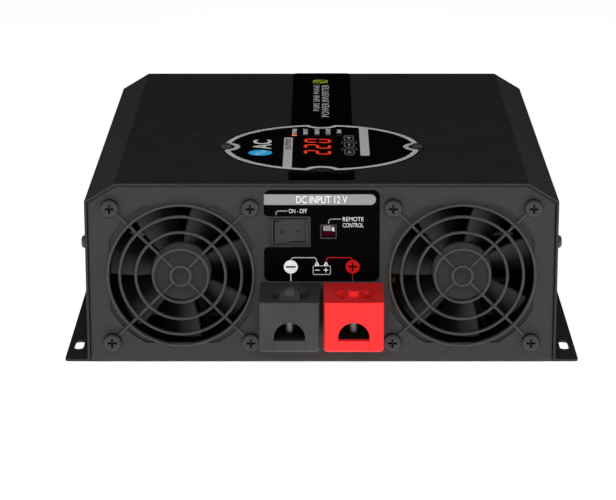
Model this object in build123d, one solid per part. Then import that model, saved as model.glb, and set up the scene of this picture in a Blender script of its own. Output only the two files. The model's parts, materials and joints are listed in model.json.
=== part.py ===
from build123d import *
import os
from math import hypot

# Power inverter with twin front fans, battery terminals and a round display badge.
# Frame: +Z up, +X to the right seen from the front, the front faces -Y.
# The origin is the centre of the base plate's underside. All sizes are in millimetres.

# ---- case ----
CASE_WIDTH = 242.0
CASE_HEIGHT = 96.5
CASE_LENGTH = 274.0
SHOULDER_WIDTH = 15.5
SHOULDER_HEIGHT = 9.4
SHEET = 1.2
FLANGE_REACH = 12.4
FLANGE_SETBACK = 5.0
FLANGE_BEND_RADIUS = 2.0
WALL_NOTCH = 2.4
SLOT_SPREAD = 256.0
SLOT_SPACING = 214.0
SLOT_LENGTH = 15.2
SLOT_WIDTH = 4.8
PANEL = 1.5
PANEL_INSET = 1.0
PANEL_LIP = 18.0
PANEL_BEND_RADIUS = 1.4
PANEL_CORNER_RADIUS = 1.8
SIDE_SCREW_HEIGHT = 63.0
SIDE_SCREW_SETBACK = 11.0

FRONT = -CASE_LENGTH / 2
REAR = CASE_LENGTH / 2
PANEL_FACE = FRONT + PANEL_INSET
PANEL_BACK = PANEL_FACE + PANEL
REAR_FACE = REAR - PANEL_INSET
FILM = 0.25

# ---- fans ----
FAN_SIZE = 80.0
FAN_DEPTH = 25.0
FAN_CENTRE_X = 72.2
FAN_CENTRE_Z = 48.2
FAN_HOLE_PITCH = 71.5
FAN_HOLE_RADIUS = 2.2
FAN_BORE_RADIUS = 37.5
FAN_FLANGE = 3.6
FAN_HUB_RADIUS = 15.5
FAN_TIP_RADIUS = 36.5
FAN_BLADES = 7
FAN_SHAFT_RADIUS = 1.5
FAN_WINDOW_RADIUS = 41.0
FAN_WINDOW_FLAT = 36.6
GUARD_RINGS = (37.4, 31.3, 23.05, 14.15, 5.1)
GUARD_WIRE = 1.6

# ---- terminals ----
TERMINAL_X = 16.2
BOOT_WIDTH = 30.4
BOOT_FLOOR = 17.5
BOOT_TOP = 43.8
BOOT_REACH = 35.5
BOOT_WALL = 3.4
BOOT_EDGE_RADIUS = 1.8
MOUTH_RADIUS = 7.9
MOUTH_CENTRE_Z = 25.3
MOUTH_SILL_Z = 23.7
CLAMP_SETBACK = 22.0
WELL_RADIUS = 9.3
LUG_TOP = 37.8
CLAMP_SHANK_RADIUS = 4.0
CLAMP_TIP_Z = 25.2

# ---- front controls ----
SWITCH_X = -16.4
SWITCH_Z = 71.55
BEZEL_WIDTH = 21.6
BEZEL_HEIGHT = 15.8
BEZEL_PROUD = 2.0
BEZEL_STEP = 0.5
BEZEL_GROOVE_DEPTH = 1.3
ROCKER_WINDOW_WIDTH = 16.6
ROCKER_WINDOW_HEIGHT = 11.6
ROCKER_TILT = 13.0
ROCKER_REACH = 8.15
JACK_X = 3.5
JACK_Z = 71.05
JACK_WIDTH = 8.4
JACK_HEIGHT = 7.6
LABEL_Z = 68.85
LABEL_WIDTH = 59.2
LABEL_HEIGHT = 48.3
LABEL_NOTCH_Z = 71.05
LABEL_NOTCH_HEIGHT = 16.5
LABEL_NOTCH_EDGE = -5.7

# ---- display ----
DISPLAY_RADIUS = 52.4
DISPLAY_Y = FRONT + 77.2
DISPLAY_PROUD = 1.0
DISPLAY_RIM = 2.8
DISPLAY_SCREW_X = 51.3
NOTCH_RADIUS = 7.0
NOTCH_DISTANCE = 53.5
NOTCH_EASE = 2.2
BUTTON_X = 14.8
BUTTON_SETBACKS = {"front": 63.8, "middle": 79.6, "rear": 95.4}
BUTTON_WIDTH = 6.2
BUTTON_LENGTH = 14.2
BUTTON_TRAVEL = 0.6
LIGHT_XS = (-14.9, -8.8, -2.55, 3.5, 9.6)
LIGHT_SETBACK = 104.2
BOARD = 1.6

# ---- rear ----
OUTLET_X = 30.0
OUTLET_Z = 55.0
EARTH_Z = 20.0
EARTH_RADIUS = 3.0
EARTH_NUT_END = REAR_FACE + 5.0
EARTH_GROOVE = 0.8

# ---- inside ----
MAIN_BOARD_Z = 14.0
MAIN_BOARD_WIDTH = 208.0
MAIN_BOARD_FRONT = -96.0
MAIN_BOARD_REAR = 112.0
BOARD_TOP = MAIN_BOARD_Z + BOARD


# ---- helpers ----
def block(x0, x1, y0, y1, z0, z1):
    """Box between two corners."""
    centre = Pos((x0 + x1) / 2, (y0 + y1) / 2, (z0 + z1) / 2)
    return centre * Box(x1 - x0, y1 - y0, z1 - z0)


def rod(axis, radius, start, length):
    """Cylinder that starts at a point and runs along +X, +Y or +Z."""
    turn = {"x": Rot(0, 90, 0), "y": Rot(-90, 0, 0), "z": Rot(0, 0, 0)}[axis]
    base = Cylinder(radius, length, align=(Align.CENTER, Align.CENTER, Align.MIN))
    return Pos(*start) * turn * base


def upright(outline, y_front, y_back):
    """Flat outline drawn in X and Z, made solid between two Y planes."""
    return extrude(Plane.XZ.offset(-y_back) * outline, y_back - y_front)


def level(outline, z_low, z_high):
    """Flat outline drawn in X and Y, made solid between two heights."""
    return extrude(Pos(0, 0, z_low) * outline, z_high - z_low)


def case_outline(inset, floor):
    """Cross-section of the case with its sloped shoulders, pulled in by inset."""
    half = CASE_WIDTH / 2 - inset
    top = CASE_HEIGHT - inset
    slant = hypot(SHOULDER_WIDTH, SHOULDER_HEIGHT)
    nx = SHOULDER_HEIGHT / slant
    nz = SHOULDER_WIDTH / slant
    reach = nx * CASE_WIDTH / 2 + nz * (CASE_HEIGHT - SHOULDER_HEIGHT) - inset
    shoulder = (reach - nx * half) / nz
    ridge = (reach - nz * top) / nx
    right = [(half, floor), (half, shoulder), (ridge, top)]
    left = [(-x, z) for x, z in reversed(right)]
    return Polygon(*right, *left, align=None)


def cross_recess(width, arm, depth):
    """Cross-shaped driver recess that goes down from z = 0."""
    bar = Box(width, arm, depth, align=(Align.CENTER, Align.CENTER, Align.MAX))
    return bar + Rot(0, 0, 90) * bar


def pan_screw(head_radius, head_height, shank_radius, shank_length):
    """Pan-head screw along +Z with its head's underside at z = 0."""
    head = Cylinder(head_radius, head_height, align=(Align.CENTER, Align.CENTER, Align.MIN))
    rim = head.edges().filter_by(GeomType.CIRCLE).sort_by(Axis.Z)[-1]
    head = fillet(rim, head_height * 0.6)
    recess = cross_recess(head_radius * 1.0, head_radius * 0.24, head_height * 0.7)
    shank = Cylinder(shank_radius, shank_length, align=(Align.CENTER, Align.CENTER, Align.MAX))
    return head - Pos(0, 0, head_height) * recess + shank


def hex_nut(across_flats, bore_radius, height):
    """Hexagonal nut standing on z = 0."""
    ring = RegularPolygon(across_flats / 2, 6, major_radius=False) - Circle(bore_radius)
    return extrude(ring, height)


FACING_FRONT = Rot(90, 0, 0)
FACING_REAR = Rot(-90, 0, 0)
FACING_RIGHT = Rot(0, 90, 0)
FACING_LEFT = Rot(0, -90, 0)
FACING_DOWN = Rot(180, 0, 0)


# ---- case ----
FLANGE_FRONT = FRONT + FLANGE_SETBACK
FLANGE_REAR = REAR - FLANGE_SETBACK


def make_cover():
    """Folded sheet: walls, sloped shoulders, top, and a slotted flange set back from the ends."""
    wall_x = CASE_WIDTH / 2
    shell = upright(case_outline(0, 0), FRONT, REAR)
    shell -= upright(case_outline(SHEET, -SHEET), FRONT - 1, REAR + 1)
    for side in (-1, 1):
        outer = side * (wall_x + FLANGE_REACH)
        inner = side * (wall_x - SHEET)
        shell += block(min(inner, outer), max(inner, outer), FLANGE_FRONT, FLANGE_REAR, 0, SHEET)
    bend = [e for e in shell.edges().filter_by(Axis.Y)
            if abs(abs(e.center().X) - wall_x) < 0.01 and abs(e.center().Z - SHEET) < 0.01]
    shell = fillet(bend, FLANGE_BEND_RADIUS)
    corners = [e for e in shell.edges().filter_by(Axis.Z)
               if abs(abs(e.center().X) - wall_x - FLANGE_REACH) < 0.01]
    shell = fillet(corners, 2.2)
    for y0, y1 in ((FRONT - 1, FLANGE_FRONT), (FLANGE_REAR, REAR + 1)):
        shell -= block(-wall_x - 1, wall_x + 1, y0, y1, -1, WALL_NOTCH)
    slot = SlotOverall(SLOT_LENGTH, SLOT_WIDTH, rotation=90)
    for x in (-SLOT_SPREAD / 2, SLOT_SPREAD / 2):
        for y in (-SLOT_SPACING / 2, SLOT_SPACING / 2):
            shell -= level(Pos(x, y) * slot, -1, SHEET + 1)
    for side, y in side_screw_places():
        shell -= rod("x", 1.6, (side * wall_x - 2, y, SIDE_SCREW_HEIGHT), 4)
    window = Rectangle(54, 76)
    shell -= level(Pos(0, DISPLAY_Y) * window, CASE_HEIGHT - 2, CASE_HEIGHT + 1)
    for x in (-DISPLAY_SCREW_X, DISPLAY_SCREW_X):
        shell -= rod("z", 1.3, (x, DISPLAY_Y, CASE_HEIGHT - 2), 4)
    return shell


def side_screw_places():
    """Side and Y of each screw that ties the cover to a panel lip."""
    setbacks = (FRONT + SIDE_SCREW_SETBACK, REAR - SIDE_SCREW_SETBACK)
    return [(side, y) for side in (-1, 1) for y in setbacks]


def base_screw_places():
    """X and Y of each countersunk screw under the base."""
    return [(x, y) for x in (-100.0, 0.0, 100.0) for y in (FRONT + 12.0, REAR - 12.0)]


def make_base_plate():
    half = CASE_WIDTH / 2 - SHEET
    plate = block(-half, half, FLANGE_FRONT, FLANGE_REAR, 0, SHEET)
    for x, y in base_screw_places():
        plate -= Pos(x, y, 0) * Cone(2.8, 1.55, SHEET, align=(Align.CENTER, Align.CENTER, Align.MIN))
    return plate


def make_base_screws():
    screws = []
    for x, y in base_screw_places():
        head = Cone(2.75, 1.5, SHEET, align=(Align.CENTER, Align.CENTER, Align.MIN))
        head -= FACING_DOWN * cross_recess(3.0, 0.7, 0.8)
        shank = rod("z", 1.5, (0, 0, SHEET), 5)
        screws.append(Pos(x, y, 0) * (head + shank))
    return screws


def panel_pan():
    """Front pan before its cut-outs: a face with lips that run back along the case walls."""
    depth = PANEL_LIP
    outer = upright(case_outline(SHEET, SHEET), PANEL_FACE, PANEL_FACE + depth)
    outer = fillet(outer.edges().filter_by(Axis.Y).group_by(Axis.Z)[0], PANEL_CORNER_RADIUS)
    rim = outer.faces().sort_by(Axis.Y)[0].edges()
    outer = fillet(rim, PANEL_BEND_RADIUS)
    hollow = case_outline(SHEET + PANEL, SHEET + PANEL)
    pan = outer - upright(hollow, PANEL_BACK, PANEL_FACE + depth + 1)
    for side in (-1, 1):
        edge = side * CASE_WIDTH / 2
        notch = block(min(edge, side * 98), max(edge, side * 98),
                      PANEL_BACK + 2, PANEL_FACE + depth + 1, CASE_HEIGHT - 13, CASE_HEIGHT)
        pan -= notch
        foot = block(min(edge, side * 114), max(edge, side * 114),
                     PANEL_BACK + 2, PANEL_FACE + depth + 1, 0, 7)
        pan -= foot
    for side in (-1, 1):
        start = (side * (CASE_WIDTH / 2 - 2.5) - 2, FRONT + SIDE_SCREW_SETBACK, SIDE_SCREW_HEIGHT)
        pan -= rod("x", 1.5, start, 4)
    for x, y in base_screw_places():
        if y < 0:
            pan -= rod("z", 1.5, (x, y, 0), 5)
    return pan


def make_front_panel():
    panel = panel_pan()
    window = Circle(FAN_WINDOW_RADIUS) & Rectangle(2 * FAN_WINDOW_FLAT, 2 * FAN_WINDOW_FLAT)
    for side in (-1, 1):
        place = Pos(side * FAN_CENTRE_X, FAN_CENTRE_Z)
        panel -= upright(place * window, PANEL_FACE - 1, PANEL_BACK + 1)
    for x, z in fan_hole_places():
        panel -= rod("y", FAN_HOLE_RADIUS, (x, PANEL_FACE - 1, z), PANEL + 2)
    for side in (-1, 1):
        x = side * TERMINAL_X
        panel -= block(x - 12, x + 12, PANEL_FACE - 1, PANEL_BACK + 1, BOOT_FLOOR + 2, LUG_TOP)
    panel -= block(SWITCH_X - 9.6, SWITCH_X + 9.6, PANEL_FACE - 1, PANEL_BACK + 1,
                   SWITCH_Z - 6.6, SWITCH_Z + 6.6)
    panel -= block(JACK_X - JACK_WIDTH / 2, JACK_X + JACK_WIDTH / 2, PANEL_FACE - 1, PANEL_BACK + 1,
                   JACK_Z - JACK_HEIGHT / 2, JACK_Z + JACK_HEIGHT / 2)
    return panel


def make_rear_panel():
    """Rear pan: the front pan turned about, with outlet windows, vents and the earth hole."""
    panel = Rot(0, 0, 180) * panel_pan()
    y0 = REAR_FACE - PANEL - 1
    y1 = REAR_FACE + 1
    for x in (-OUTLET_X, OUTLET_X):
        panel -= block(x - 20, x + 20, y0, y1, OUTLET_Z - 20, OUTLET_Z + 20)
    vent = SlotOverall(34, 3.4)
    for side in (-1, 1):
        for row in range(9):
            place = Pos(side * 86, 20 + 7 * row)
            panel -= upright(place * vent, y0, y1)
    panel -= rod("y", EARTH_RADIUS + 0.2, (0, y0, EARTH_Z), PANEL + 2)
    return panel


def make_cover_screws():
    screws = []
    for side, y in side_screw_places():
        facing = FACING_RIGHT if side > 0 else FACING_LEFT
        screw = pan_screw(3.3, 2.7, 1.45, 6.5)
        screws.append(Pos(side * CASE_WIDTH / 2, y, SIDE_SCREW_HEIGHT) * facing * screw)
    return screws


def make_front_label():
    """Gloss film on the front panel, notched round the switch and open at the jack."""
    sheet = Pos(0.1, LABEL_Z) * RectangleRounded(LABEL_WIDTH, LABEL_HEIGHT, 3.5)
    notch = Pos(LABEL_NOTCH_EDGE - LABEL_WIDTH / 2, LABEL_NOTCH_Z) * Rectangle(LABEL_WIDTH, LABEL_NOTCH_HEIGHT)
    outline = sheet - notch
    left_edge = outline.vertices().group_by(Axis.X)[0]
    steps = [v for v in left_edge if abs(v.Y - LABEL_NOTCH_Z) < LABEL_NOTCH_HEIGHT]
    outline = fillet(steps, 1.9)
    outline -= Pos(JACK_X, JACK_Z) * Rectangle(JACK_WIDTH, JACK_HEIGHT)
    return upright(outline, PANEL_FACE - FILM, PANEL_FACE)


def make_top_strip():
    """Gloss film along the top, cut round the display badge."""
    length = CASE_LENGTH - 7.4
    sheet = Pos(0, REAR - length / 2) * RectangleRounded(34.2, length, 3.0)
    outline = sheet - Pos(0, DISPLAY_Y) * Circle(DISPLAY_RADIUS)
    return level(outline, CASE_HEIGHT, CASE_HEIGHT + FILM)


# ---- fans: drawn facing +Z with the frame's front face at z = 0, then set in place ----
def fan_hole_places():
    """X and Z of the eight fan screws."""
    half = FAN_HOLE_PITCH / 2
    return [(fan * FAN_CENTRE_X + dx, FAN_CENTRE_Z + dz)
            for fan in (-1, 1) for dx in (-half, half) for dz in (-half, half)]


def in_fan_place(shape, side):
    return Pos(side * FAN_CENTRE_X, PANEL_BACK, FAN_CENTRE_Z) * FACING_FRONT * shape


def fan_frame():
    """Square frame: two flanges, a duct, four struts, the motor base and the bearing tube."""
    outline = RectangleRounded(FAN_SIZE, FAN_SIZE, 5.0)
    half = FAN_HOLE_PITCH / 2
    for dx in (-half, half):
        for dy in (-half, half):
            outline -= Pos(dx, dy) * Circle(FAN_HOLE_RADIUS)
    flange = outline - Circle(FAN_BORE_RADIUS)
    front = level(flange, -FAN_FLANGE, 0)
    rear = level(flange, -FAN_DEPTH, FAN_FLANGE - FAN_DEPTH)
    duct = level(Circle(FAN_BORE_RADIUS + 1.8) - Circle(FAN_BORE_RADIUS), -FAN_DEPTH, 0)
    base = level(Circle(16.5), -FAN_DEPTH, 1.8 - FAN_DEPTH)
    frame = front + rear + duct + base
    for turn in range(4):
        strut = block(15.0, FAN_BORE_RADIUS + 1.0, -1.8, 1.8, -FAN_DEPTH, 3.0 - FAN_DEPTH)
        frame += Rot(0, 0, 22 + 90 * turn) * strut
    frame += level(Circle(4.6), 1.5 - FAN_DEPTH, -11.0)
    frame -= level(Circle(3.5), 1.8 - FAN_DEPTH, -10.0)
    return frame


def fan_bearing():
    ring = Circle(3.5) - Circle(FAN_SHAFT_RADIUS + 0.04)
    return level(ring, 3.0 - FAN_DEPTH, -11.0)


def fan_shaft():
    return level(Circle(FAN_SHAFT_RADIUS), 3.0 - FAN_DEPTH, -7.0)


def fan_stator():
    """Four-pole core round the bearing tube, its coils, and the drive board under it."""
    core = Circle(6.6) - Circle(4.6)
    for turn in range(4):
        arm = Pos(8.5, 0) * Rectangle(5, 3.4) + Pos(11.0, 0) * Rectangle(1.6, 12.0)
        core += Rot(0, 0, 90 * turn) * arm
    core = core & Circle(12.2)
    stator = level(core, -20.0, -13.0)
    for turn in range(4):
        coil = block(6.9, 10.0, -3.6, 3.6, -21.0, -12.2)
        stator += Rot(0, 0, 90 * turn) * coil
    board = Circle(14.0) - Circle(4.6)
    return [stator, level(board, -23.0, -21.8)]


def blade_section(radius, chord, pitch, lift, camber, thickness):
    """Curved blade section on the plane square to +X at this radius."""
    half = chord / 2
    skin = thickness / 2
    top = ThreePointArc((-half, skin), (0, camber + skin), (half, skin))
    nose = Line((half, skin), (half, -skin))
    under = ThreePointArc((half, -skin), (0, camber - skin), (-half, -skin))
    tail = Line((-half, -skin), (-half, skin))
    face = make_face([top, nose, under, tail])
    plane = Plane(origin=(radius, 0, lift), x_dir=(0, 1, 0), z_dir=(1, 0, 0))
    return plane * (Rot(0, 0, pitch) * face)


def fan_impeller():
    """Cup hub with a pressed-on boss and swept blades."""
    hub = level(Circle(FAN_HUB_RADIUS), -20.5, -4.5)
    rim = hub.edges().filter_by(GeomType.CIRCLE).sort_by(Axis.Z)[-1]
    hub = fillet(rim, 1.2)
    hub -= level(Circle(FAN_HUB_RADIUS - 1.4), -21.5, -6.2)
    hub += level(Circle(3.2), -10.0, -6.0)
    hub -= level(Circle(FAN_SHAFT_RADIUS), -21.0, -7.0)
    root = blade_section(FAN_HUB_RADIUS - 1.0, 17.0, 52, -12.6, 1.4, 1.5)
    middle = blade_section(26.0, 22.0, 38, -12.6, 2.2, 1.3)
    tip = blade_section(FAN_TIP_RADIUS + 2.5, 24.0, 29, -12.6, 2.6, 1.1)
    blade = loft([root, middle, tip])
    reach = level(Circle(FAN_TIP_RADIUS) - Circle(FAN_HUB_RADIUS - 0.6), -20.4, -4.6)
    blade = blade & reach
    for turn in range(FAN_BLADES):
        hub += Rot(0, 0, 12 + 360 * turn / FAN_BLADES) * blade
    return hub


def fan_guard():
    """Wire guard: four spokes that end in screw loops, with the rings in front of them."""
    wire = GUARD_WIRE / 2
    spoke_z = PANEL + wire
    ring_z = spoke_z + GUARD_WIRE - 0.3
    loop = 2.9
    corner = FAN_HOLE_PITCH / 2 * 2 ** 0.5
    guard = Pos(0, 0, ring_z) * Torus(GUARD_RINGS[0], wire)
    for radius in GUARD_RINGS[1:]:
        guard += Pos(0, 0, ring_z) * Torus(radius, wire)
    for turn in range(4):
        spoke = rod("x", wire, (GUARD_RINGS[-1] - 0.6, 0, spoke_z), corner - loop - GUARD_RINGS[-1] + 0.6)
        arm = spoke + Pos(corner, 0, spoke_z) * Torus(loop, wire)
        guard += Rot(0, 0, 45 + 90 * turn) * arm
    return guard


def make_fan_screws():
    screw = pan_screw(4.7, 2.7, 1.95, 12.0)
    face = PANEL_FACE - GUARD_WIRE
    return [Pos(x, face, z) * FACING_FRONT * screw for x, z in fan_hole_places()]


def make_fan_nuts():
    nut = hex_nut(7.0, 2.0, 3.2)
    back = PANEL_BACK + FAN_FLANGE
    return [Pos(x, back + 3.2, z) * FACING_FRONT * nut for x, z in fan_hole_places()]


# ---- battery terminals: drawn round x = 0, then moved to their side ----
CLAMP_Y = PANEL_FACE - CLAMP_SETBACK
BOOT_FRONT = PANEL_FACE - BOOT_REACH


def mouth_outline(bottom):
    """Cable mouth: straight sides under a half-round top."""
    arch = Pos(0, MOUTH_CENTRE_Z) * Circle(MOUTH_RADIUS)
    lower = Pos(0, (bottom + MOUTH_CENTRE_Z) / 2) * Rectangle(2 * MOUTH_RADIUS, MOUTH_CENTRE_Z - bottom)
    above = Pos(0, MOUTH_CENTRE_Z + 10) * Rectangle(40, 20)
    return (arch & above) + lower


def terminal_boot():
    half = BOOT_WIDTH / 2
    boot = block(-half, half, BOOT_FRONT, PANEL_FACE, BOOT_FLOOR, BOOT_TOP)
    boot = fillet(boot.edges().filter_by(Axis.Z).group_by(Axis.Y)[0], 2.4)
    boot = fillet(boot.edges().filter_by(Axis.Y).group_by(Axis.Z)[0], BOOT_EDGE_RADIUS)
    boot = fillet(boot.faces().sort_by(Axis.Z)[-1].edges().group_by(Axis.Y)[0], 0.5)
    boot += block(-12, 12, PANEL_FACE - 1, PANEL_BACK + 2, BOOT_FLOOR + 2, LUG_TOP)
    inner = half - BOOT_WALL - 1.2
    boot -= block(-inner, inner, BOOT_FRONT + BOOT_WALL, PANEL_BACK + 3, BOOT_FLOOR + 2, LUG_TOP)
    boot -= upright(mouth_outline(BOOT_FLOOR - 1), BOOT_FRONT - 1, BOOT_FRONT + BOOT_WALL)
    boot -= rod("z", WELL_RADIUS, (0, CLAMP_Y, LUG_TOP - 0.5), 10)
    return boot


def terminal_insert():
    """Block that fills the boot's slot under the cable mouth."""
    gap = 0.12
    width = MOUTH_RADIUS - gap
    insert = block(-width, width, BOOT_FRONT, BOOT_FRONT + BOOT_WALL, BOOT_FLOOR, MOUTH_SILL_Z)
    front_edges = insert.edges().filter_by(Axis.X).group_by(Axis.Y)[0]
    return fillet(front_edges.sort_by(Axis.Z)[0], BOOT_EDGE_RADIUS)


def terminal_lug():
    """Metal clamp block: a blind cable tunnel and the clamp screw's bore."""
    half = BOOT_WIDTH / 2 - BOOT_WALL - 1.2
    front = BOOT_FRONT + BOOT_WALL
    lug = block(-half, half, front, PANEL_BACK, BOOT_FLOOR + 2, LUG_TOP)
    lug -= upright(mouth_outline(MOUTH_SILL_Z), front - 1, PANEL_FACE - 3)
    lug -= rod("z", CLAMP_SHANK_RADIUS + 0.06, (0, CLAMP_Y, MOUTH_CENTRE_Z), 20)
    return lug


def terminal_tip():
    """Swivel foot that presses on the cable."""
    return rod("z", CLAMP_SHANK_RADIUS - 0.2, (0, CLAMP_Y, CLAMP_TIP_Z), 2.0)


def terminal_screw():
    return rod("z", CLAMP_SHANK_RADIUS, (0, CLAMP_Y, CLAMP_TIP_Z + 2.0), BOOT_TOP - 2.5 - CLAMP_TIP_Z - 2.0)


def terminal_knob():
    """Winged cap moulded on the clamp screw."""
    wing = Circle(WELL_RADIUS - 0.5) & Rectangle(10.4, 40)
    knob = level(Pos(0, CLAMP_Y) * wing, BOOT_TOP - 2.5, BOOT_TOP)
    boss = level(Pos(0, CLAMP_Y) * Circle(3.1), BOOT_TOP - 0.5, BOOT_TOP + 2.6)
    rim = boss.edges().filter_by(GeomType.CIRCLE).sort_by(Axis.Z)[-1]
    return knob + fillet(rim, 1.0)


def terminal_busbar():
    """Bar from the lug's back to the main board, with a foot bent down onto it."""
    bar = block(-8, 8, PANEL_BACK, MAIN_BOARD_FRONT + 14, BOOT_FLOOR + 3, BOOT_FLOOR + 6)
    foot = block(-8, 8, MAIN_BOARD_FRONT + 11, MAIN_BOARD_FRONT + 14, BOARD_TOP, BOOT_FLOOR + 4)
    return bar + foot


# ---- rocker switch ----
def make_switch_body():
    """Stepped bezel and rear housing with an open well for the rocker."""
    here = Pos(SWITCH_X, SWITCH_Z)
    face = PANEL_FACE - BEZEL_PROUD
    groove_floor = face + BEZEL_GROOVE_DEPTH
    flange = here * RectangleRounded(BEZEL_WIDTH, BEZEL_HEIGHT, 0.8)
    body = upright(flange, face + BEZEL_STEP, PANEL_FACE - FILM)
    body = chamfer(body.faces().sort_by(Axis.Y)[0].edges(), 0.3)
    groove = here * RectangleRounded(BEZEL_WIDTH - 1.6, BEZEL_HEIGHT - 1.6, 0.6)
    frame = here * RectangleRounded(BEZEL_WIDTH - 2.5, BEZEL_HEIGHT - 2.5, 0.4)
    body -= upright(groove - frame, face, groove_floor)
    raised = upright(frame, face, groove_floor)
    body += chamfer(raised.faces().sort_by(Axis.Y)[0].edges(), 0.35)
    body += block(SWITCH_X - 9.5, SWITCH_X + 9.5, PANEL_FACE - 2 * FILM, PANEL_FACE + 15,
                  SWITCH_Z - 6.5, SWITCH_Z + 6.5)
    half_w = ROCKER_WINDOW_WIDTH / 2
    half_h = ROCKER_WINDOW_HEIGHT / 2
    body -= block(SWITCH_X - half_w, SWITCH_X + half_w, face - 1, PANEL_FACE + 12,
                  SWITCH_Z - half_h, SWITCH_Z + half_h)
    body -= rod("z", 1.0, (SWITCH_X, PANEL_FACE, SWITCH_Z - 6.4), 12.8)
    return body


def make_switch_rocker():
    """Rocker with its right side pressed in, on two short pivots."""
    sides = Polyline((7.9, 2.0), (8.3, 0), (3.0, -5.0), (-3.0, -5.0), (-8.3, 0), (-7.9, 2.0))
    touch = ThreePointArc((-7.9, 2.0), (0, 1.1), (7.9, 2.0))
    profile = make_face([sides, touch]) & Circle(ROCKER_REACH)
    half = ROCKER_WINDOW_HEIGHT / 2 - 0.25
    rocker = extrude(profile, half, both=True)
    rocker += Cylinder(0.95, 12.7)
    turned = Rot(0, 0, ROCKER_TILT) * Rot(180, 0, 0) * rocker
    return Pos(SWITCH_X, PANEL_FACE, SWITCH_Z) * turned


def make_switch_tabs():
    """Two spade terminals out of the switch's back."""
    tabs = []
    for dx in (-3.5, 3.5):
        tab = block(SWITCH_X + dx - 0.4, SWITCH_X + dx + 0.4, PANEL_FACE + 15, PANEL_FACE + 23,
                    SWITCH_Z - 2.4, SWITCH_Z + 2.4)
        tabs.append(tab - rod("x", 0.8, (SWITCH_X + dx - 1, PANEL_FACE + 20, SWITCH_Z), 2))
    return tabs


# ---- remote-control jack ----
def make_remote_jack():
    """Modular jack: a nose through the panel, a housing behind it, one deep socket."""
    nose = block(JACK_X - JACK_WIDTH / 2, JACK_X + JACK_WIDTH / 2, PANEL_FACE - FILM, PANEL_BACK,
                 JACK_Z - JACK_HEIGHT / 2, JACK_Z + JACK_HEIGHT / 2)
    housing = block(JACK_X - 6, JACK_X + 6, PANEL_BACK, PANEL_BACK + 14, JACK_Z - 6.5, JACK_Z + 6.5)
    socket = block(JACK_X - JACK_WIDTH / 2 + 0.6, JACK_X + JACK_WIDTH / 2 - 0.6, PANEL_FACE - 1,
                   PANEL_BACK + 11, JACK_Z - JACK_HEIGHT / 2 + 0.6, JACK_Z + JACK_HEIGHT / 2 - 0.6)
    return nose + housing - socket


def make_jack_pins():
    """Four contact springs along the socket's roof."""
    pins = []
    for index in range(4):
        x = JACK_X - 2.25 + 1.5 * index
        roof = JACK_Z + JACK_HEIGHT / 2 - 0.7
        outline = Polygon((PANEL_BACK + 11, roof - 2.5), (PANEL_BACK + 11, roof - 2.0),
                          (PANEL_FACE + 1.5, roof), (PANEL_FACE + 1.5, roof - 0.5), align=None)
        pins.append(Pos(x - 0.3, 0, 0) * extrude(Plane.YZ * outline, 0.6))
    return pins


# ---- display badge ----
def badge_outline(inset):
    """Disc with four round notches whose corners are eased, pulled in by inset."""
    radius = DISPLAY_RADIUS - inset
    bite = NOTCH_RADIUS + inset
    ease = max(NOTCH_EASE - inset, NOTCH_EASE / 3)
    along = ((radius - ease) ** 2 - (bite + ease) ** 2 + NOTCH_DISTANCE ** 2) / (2 * NOTCH_DISTANCE)
    across = ((radius - ease) ** 2 - along ** 2) ** 0.5
    centre = Vector(along, across)
    outward = centre.normalized()
    away = (Vector(NOTCH_DISTANCE, 0) - centre).normalized()
    on_rim = centre + outward * ease
    on_notch = centre + away * ease
    corner = centre + (outward + away).normalized() * ease
    low = [Vector(p.X, -p.Y) for p in (on_rim, corner, on_notch)]
    deepest = Vector(NOTCH_DISTANCE - bite, 0)
    halfway = radius * Vector(0.5 ** 0.5, 0.5 ** 0.5)
    next_rim = Vector(-low[0].Y, low[0].X)
    arcs = []
    for turn in range(4):
        quarter = [
            ThreePointArc(low[0], low[1], low[2]),
            ThreePointArc(low[2], deepest, on_notch),
            ThreePointArc(on_notch, corner, on_rim),
            ThreePointArc(on_rim, halfway, next_rim),
        ]
        arcs += [Rot(0, 0, 90 * turn) * arc for arc in quarter]
    return make_face(arcs)


def button_places():
    """Name and centre of each display button."""
    return {name: (BUTTON_X, FRONT + back) for name, back in BUTTON_SETBACKS.items()}


BADGE_EAR_TOP = CASE_HEIGHT + 0.6
BADGE_TOP = CASE_HEIGHT + DISPLAY_PROUD
FACE_TOP = BADGE_TOP - 0.05
FACE_FLOOR = CASE_HEIGHT + 0.4
DISPLAY_BOARD_TOP = 90.9


def make_display_bezel():
    """Thin badge: the notched rim round a seat, two screw ears and four board posts."""
    here = Pos(0, DISPLAY_Y)
    bezel = level(here * badge_outline(0), CASE_HEIGHT, BADGE_TOP)
    for x in (-DISPLAY_SCREW_X, DISPLAY_SCREW_X):
        ear = Pos(x, 0) * Circle(3.6) + Pos(x * 0.93, 0) * Rectangle(7.0, 7.2)
        bezel += level(here * ear, CASE_HEIGHT, BADGE_EAR_TOP)
    bezel -= level(here * badge_outline(DISPLAY_RIM), FACE_FLOOR, BADGE_TOP + 1)
    bezel -= level(here * Rectangle(50, 70), CASE_HEIGHT - 1, BADGE_TOP + 1)
    for x in (-DISPLAY_SCREW_X, DISPLAY_SCREW_X):
        bezel -= rod("z", 1.6, (x, DISPLAY_Y, CASE_HEIGHT - 1), 4)
    for x in (-25.5, 25.5):
        for dy in (-28.0, 28.0):
            bezel += block(x - 1.2, x + 1.2, DISPLAY_Y + dy - 3, DISPLAY_Y + dy + 3,
                           DISPLAY_BOARD_TOP, CASE_HEIGHT + 0.4)
    return bezel


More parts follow.
